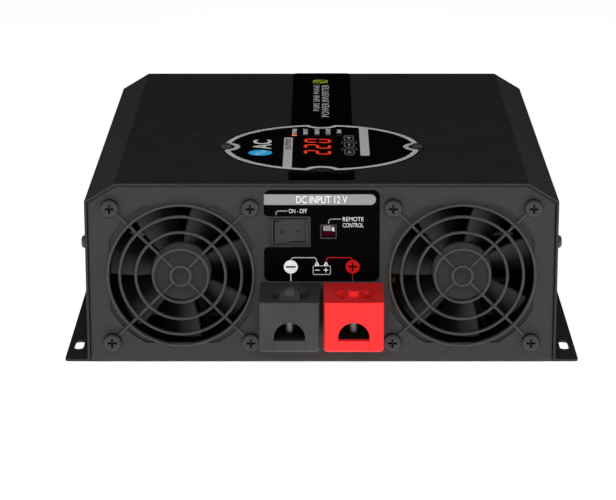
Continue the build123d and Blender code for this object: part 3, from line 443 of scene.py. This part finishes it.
def dress_front_label():
    """Grey heading bar, leaders, polarity discs and the battery sign."""
    bar = slab(-29.4, 85.2, 27.7, 90.75, 2.77, round_left=False)
    print_shape("label_bar", [bar], ON_LABEL, "grey")
    raised = ON_LABEL @ Matrix.Translation((0, 0, INK_DEPTH))
    print_text("label_heading", "DC INPUT 12 V", 0.1, 87.95, 3.9, raised, "white", 26.0, weight=0.006)
    for name, words, u, v, width in (("label_on_off", "ON - OFF", -12.1, 81.95, 9.2),
                                     ("label_remote_1", "REMOTE", 16.1, 77.7, 10.6),
                                     ("label_remote_2", "CONTROL", 16.1, 74.5, 10.6)):
        print_text(name, words, u, v, SMALL_CAPITALS, ON_LABEL, "white", width, weight=-0.008)
    switch_line = [(-17.4, 82.0)] + arc(-22.0, 80.8, 1.2, 90, 180, 6) + [(-23.2, 79.6)]
    print_shape("label_switch_leader", [stroke(switch_line, LEADER_WIDTH)], ON_LABEL, "soft")
    remote_line = [(9.8, 77.75)] + arc(4.9, 76.4, 1.3, 90, 180, 6) + [(3.6, 75.3)]
    print_shape("label_remote_leader", [stroke(remote_line, LEADER_WIDTH)], ON_LABEL, "soft")
    u, v = MINUS_AT
    minus = slab(u - SIGN_REACH, v - SIGN_HALF, u + SIGN_REACH, v + SIGN_HALF)
    print_shape("label_minus", [disc(u, v, SIGN_RADIUS), minus], ON_LABEL, "white")
    plus = cross(*PLUS_AT, SIGN_REACH, SIGN_HALF)
    print_shape("label_plus", [disc(*PLUS_AT, SIGN_RADIUS), plus], ON_LABEL, "red")
    for name, u, ink in (("minus", MINUS_AT[0], "white"), ("plus", PLUS_AT[0], "deep_red")):
        stem = slab(u - STEM_HALF, STEM_LOW, u + STEM_HALF, STEM_TOP)
        print_shape(f"label_{name}_stem", [stem], ON_LABEL, ink)
    left_wire = [(-15.8, 55.7)] + arc(-14.3, 55.9, 1.4, 170, 90, 6) + arc(-4.1, 55.8, 1.5, 90, 10, 6)
    left_wire += [(-2.5, 54.6)]
    print_shape("label_minus_wire", [stroke(left_wire, WIRE_WIDTH)], ON_LABEL, "soft")
    right_wire = [(2.3, 54.6), (2.45, 55.4)] + arc(3.95, 55.8, 1.5, 170, 90, 6)
    right_wire += arc(14.3, 55.8, 1.5, 90, 15, 6)
    print_shape("label_plus_wire", [stroke(right_wire, WIRE_WIDTH)], ON_LABEL, "red")
    dress_battery()


def dress_battery():
    """Battery sign: a box with two posts and its polarity marks."""
    outer = slab(-4.5, 48.15, 4.7, 53.05, 0.7)
    inner = slab(-4.14, 48.5, 4.34, 52.7, 0.45)
    print_shape("label_battery", [outer, inner], ON_LABEL, "soft")
    for name, x in (("left", -2.4), ("right", 2.25)):
        post = [(x - 1.15, 53.1), (x + 1.15, 53.1), (x + 0.45, 54.9), (x - 0.45, 54.9)]
        core = [(x - 0.5, 53.5), (x + 0.5, 53.5), (x, 54.4)]
        print_shape("label_post_" + name, [post, core], ON_LABEL, "white")
    print_shape("label_battery_minus", [slab(-3.35, 50.45, -1.0, 50.85)], ON_LABEL, "white")
    print_shape("label_battery_plus", [cross(2.2, 50.65, 1.15, 0.2)], ON_LABEL, "white")


dress_front_label()


# ---- inside the socket, and the rocker marks on the rocker's own faces ----
JACK_DEPTH = 2.5
JACK_ROOF = 74.05
ROCKER_CURVE = 35.1
ROCKER_HOLLOW = 1.1
ROCKER_TILT = 13.0
ROCKER_PIVOT_DEPTH = 1.0
ROCKER_MARK_OFFSET = 4.1


def dress_jack():
    """Parts seen inside the socket: a plate, a red block under it, a white latch and its spot."""
    low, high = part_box("remote_jack")
    middle = (low.x + high.x) / 2 / MM
    at = Matrix.Translation((middle, JACK_ROOF, 0))
    inside = place((0, LABEL_Y + JACK_DEPTH * MM, 0), (1, 0, 0), (0, 0, 1)) @ at
    patches = (("plate", slab(-2.7, -3.2, 1.6, -0.1, 0.2), "grey"),
               ("block", slab(-2.9, -5.9, 2.9, -3.4, 0.2), "wine"),
               ("latch", slab(1.9, -3.9, 3.0, -1.3, 0.3), "white"),
               ("spot", disc(0.6, -3.75, 0.34, 20), "white"))
    for name, patch, ink in patches:
        print_shape("jack_" + name, [patch], inside, ink)


def dress_rocker():
    """Ring and bar printed on the two halves of the rocker's hollowed front."""
    low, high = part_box("switch_body")
    pivot = Vector(((low.x + high.x) / 2, CASE_FRONT_Y + ROCKER_PIVOT_DEPTH * MM, (low.z + high.z) / 2))
    tilt = Matrix.Rotation(radians(ROCKER_TILT), 4, "Z")
    slope = ROCKER_MARK_OFFSET / ROCKER_CURVE
    depth = ROCKER_HOLLOW + ROCKER_MARK_OFFSET ** 2 / (2 * ROCKER_CURVE)
    for name, side, loops in (("off", -1, [oval(1.2, 1.0), oval(0.85, 0.65)]),
                              ("on", 1, [slab(-1.45, -0.22, 1.45, 0.22)])):
        start = Vector((side * ROCKER_MARK_OFFSET * MM, -depth * MM, 0.0))
        flat = place(start, (cos(slope), -side * sin(slope), 0.0), (0, 0, 1))
        matrix = Matrix.Translation(pivot) @ tilt @ flat
        print_shape("rocker_mark_" + name, loops, matrix, "black", "rocker")


dress_jack()
dress_rocker()


# ---- display badge: u runs from front to back, v is minus X ----
SEGMENTS = {"0": "abcdef", "2": "abged"}
SEGMENT_GAP = 0.35
DIGIT_SIZE = (7.2, 12.7)
DIGIT_START = 64.4
DIGIT_PITCH = 13.3
DIGIT_V = 2.2
DIGIT_LEAN = 0.12
DISC_AT = (63.4, 32.6)
LIGHT_AT = (104.2, 14.9)
MARKS_U = 113.5


def segment_outline(name, width, height, thick):
    """One bar of a seven-segment digit, round its own middle."""
    gap = SEGMENT_GAP
    x = width / 2
    y = height / 2
    ends = {"a": ((-x, y), (x, y)), "g": ((-x, 0), (x, 0)), "d": ((-x, -y), (x, -y)),
            "b": ((x, y), (x, 0)), "c": ((x, 0), (x, -y)),
            "f": ((-x, y), (-x, 0)), "e": ((-x, 0), (-x, -y))}
    (x0, y0), (x1, y1) = ends[name]
    size = hypot(x1 - x0, y1 - y0)
    ux = (x1 - x0) / size
    uy = (y1 - y0) / size
    half = thick / 2
    points = []
    for along, side in ((gap, 0), (gap + half, 1), (size - gap - half, 1), (size - gap, 0),
                        (size - gap - half, -1), (gap + half, -1)):
        points.append((x0 + ux * along - uy * side * half, y0 + uy * along + ux * side * half))
    return points


def dress_digits():
    """The reading 220 in slanted bars, each over a faint glow."""
    raised = ON_FACE @ Matrix.Translation((0, 0, INK_DEPTH))
    layers = (("bar", 0.9, raised, "lit_red"), ("glow", 2.6, ON_FACE, "lit_halo"))
    for index, figure in enumerate("220"):
        middle = DIGIT_START + DIGIT_PITCH * index
        for bar in SEGMENTS[figure]:
            for name, thick, matrix, ink in layers:
                upright = segment_outline(bar, *DIGIT_SIZE, thick)
                outline = [(middle + x + DIGIT_LEAN * y, DIGIT_V + y) for x, y in upright]
                print_shape(f"digit_{name}_{index}_{bar}", [outline], matrix, ink)


def dress_badge():
    """Bars, marks and signs printed on the gloss face."""
    print_shape("badge_bar_left", [slab(30.7, 15.6, 99.0, 20.3, 1.2, round_left=False)],
                ON_FACE, "pale")
    raised = ON_FACE @ Matrix.Translation((0, 0, INK_DEPTH))
    print_text("badge_bar_word", "OUTPUT", 83.7, 17.95, 3.0, raised, "dark", 26.0, weight=0.03)
    print_shape("badge_bar_right", [slab(56.8, -25.5, 122.3, -20.6, 1.2, round_right=False)],
                ON_FACE, "pale")
    words = ("POWER", "INPUT", "HEAT", "LOAD", "FAN")
    for index, (x, word) in enumerate(zip((-14.9, -8.8, -2.55, 3.5, 9.6), words)):
        width = 8.0 if index == 4 else 13.0
        print_text(f"badge_mark_{index}", word, MARKS_U, -x, 2.5, ON_FACE, "lit_white", width,
                   weight=0.02)
    u, v = LIGHT_AT
    lens = slab(u - 1.2, v - 1.4, u + 1.2, v + 1.4, 0.3)
    print_shape("badge_light_on", [lens], ON_FACE, "lit_orange")
    u, v = DISC_AT
    print_shape("badge_disc", [disc(u, v, 6.3)], ON_FACE, "lit_blue")
    print_shape("badge_disc_wave", [stroke(sine_wave(u, v, 4.6, 2.4), 0.8)], raised, "lit_white")
    print_text("badge_disc_word", "AC", 82.7, 32.0, 10.0, ON_FACE, "lit_white", 21.0, weight=0.02)
    dress_keys()


def dress_keys():
    """Oval outline and sign on each key, which move with it, and brackets on the face between."""
    for index, name in enumerate(("front", "middle", "rear")):
        low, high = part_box("display_button_" + name)
        matrix = place((0, CASE_FRONT_Y, high.z), (0, 1, 0), (-1, 0, 0))
        u = ((low.y + high.y) / 2 - CASE_FRONT_Y) / MM
        v = -(low.x + high.x) / 2 / MM
        outer = slab(u - 6.6, v - 2.7, u + 6.6, v + 2.7, 2.6)
        inner = slab(u - 5.9, v - 2.2, u + 5.9, v + 2.2, 2.1)
        body = "button_" + name
        print_shape(f"key_{name}_frame", [outer, inner], matrix, "grey", body)
        signs = ([(u - 2.4, v - 1.2), (u + 2.4, v), (u - 2.4, v + 1.2)],
                 slab(u - 2.6, v - 0.4, u + 2.6, v + 0.4, 0.3),
                 [(u + 2.4, v - 1.2), (u + 2.4, v + 1.2), (u - 2.4, v)])
        print_shape(f"key_{name}_sign", [signs[index]], matrix, "soft", body)
    for index, u in enumerate((71.7, 87.5)):
        for side in (-1, 1):
            v = -14.8 + side * 3.1
            tie = [(u - 2.6, v + side * 1.0), (u, v + side * 0.2), (u + 2.6, v + side * 1.0)]
            name = f"key_tie_{index}_{(side + 1) // 2}"
            print_shape(name, [stroke(tie, 0.4)], ON_FACE, "grey")


dress_digits()
dress_badge()


# ---- top strip ----
def dress_strip():
    """Two lines of plain wording and a green sign with a wave."""
    print_text("strip_line_1", "POWER INVERTER", 196.5, -2.2, 4.2, ON_STRIP, "white", 87.0)
    print_text("strip_line_2", "PURE SINE WAVE", 204.0, 2.95, 3.5, ON_STRIP, "white", 71.0)
    badge = slab(244.5, -3.8, 254.5, 5.4, 3.0)
    print_shape("strip_sign", [badge], ON_STRIP, "green")
    raised = ON_STRIP @ Matrix.Translation((0, 0, INK_DEPTH))
    print_shape("strip_sign_wave", [stroke(sine_wave(249.5, 0.8, 3.8, 2.6), 1.2)], raised, "dark")


dress_strip()


# ---- stage and lights ----
def make_floor():
    """Plain pale floor, wide enough for every view."""
    mesh = bpy.data.meshes.new("floor")
    half = 6.0
    mesh.from_pydata([(-half, -half, 0), (half, -half, 0), (half, half, 0), (-half, half, 0)], [],
                     [(0, 1, 2, 3)])
    material, tree, shader = node_tree("floor_white")
    tone = two_tone(tree, noise(tree, 2.0, 2.0), (0.9, 0.9, 0.9), (0.93, 0.93, 0.93))
    tree.links.new(tone, shader.inputs["Base Color"])
    shader.inputs["Roughness"].default_value = 0.9
    shader.inputs["Specular IOR Level"].default_value = 0.1
    tree.links.new(tone, shader.inputs["Emission Color"])
    shader.inputs["Emission Strength"].default_value = 0.85
    mesh.materials.append(material)
    ground = bpy.data.objects.new("floor", mesh)
    bpy.context.scene.collection.objects.link(ground)


def area_light(name, location, target, size, power, mirrored=True):
    data = bpy.data.lights.new(name, "AREA")
    data.shape = "DISK"
    data.size = size
    data.energy = power
    lamp = bpy.data.objects.new(name, data)
    lamp.location = location
    lamp.visible_glossy = mirrored
    aim = Vector(target) - Vector(location)
    lamp.rotation_euler = aim.to_track_quat("-Z", "Y").to_euler()
    bpy.context.scene.collection.objects.link(lamp)


def make_lights():
    """Low front softbox that polished faces don't mirror, a weak overhead and two side fills."""
    area_light("front_box", (0.0, -2.6, 1.0), (0, -0.1, 0.05), 1.6, 56, mirrored=False)
    area_light("overhead", (0.0, 0.3, 2.2), (0, 0.1, 0), 1.6, 4)
    area_light("left_fill", (-2.2, -0.9, 0.8), (0, 0, 0.05), 1.2, 8)
    area_light("right_fill", (2.2, -0.9, 0.8), (0, 0, 0.05), 1.2, 8)
    world = bpy.data.worlds.new("room")
    world.use_nodes = True
    background = world.node_tree.nodes["Background"]
    background.inputs["Color"].default_value = (1.0, 1.0, 1.0, 1.0)
    background.inputs["Strength"].default_value = 0.008
    bpy.context.scene.world = world
    bpy.context.scene.view_settings.view_transform = "Standard"


make_floor()
make_lights()
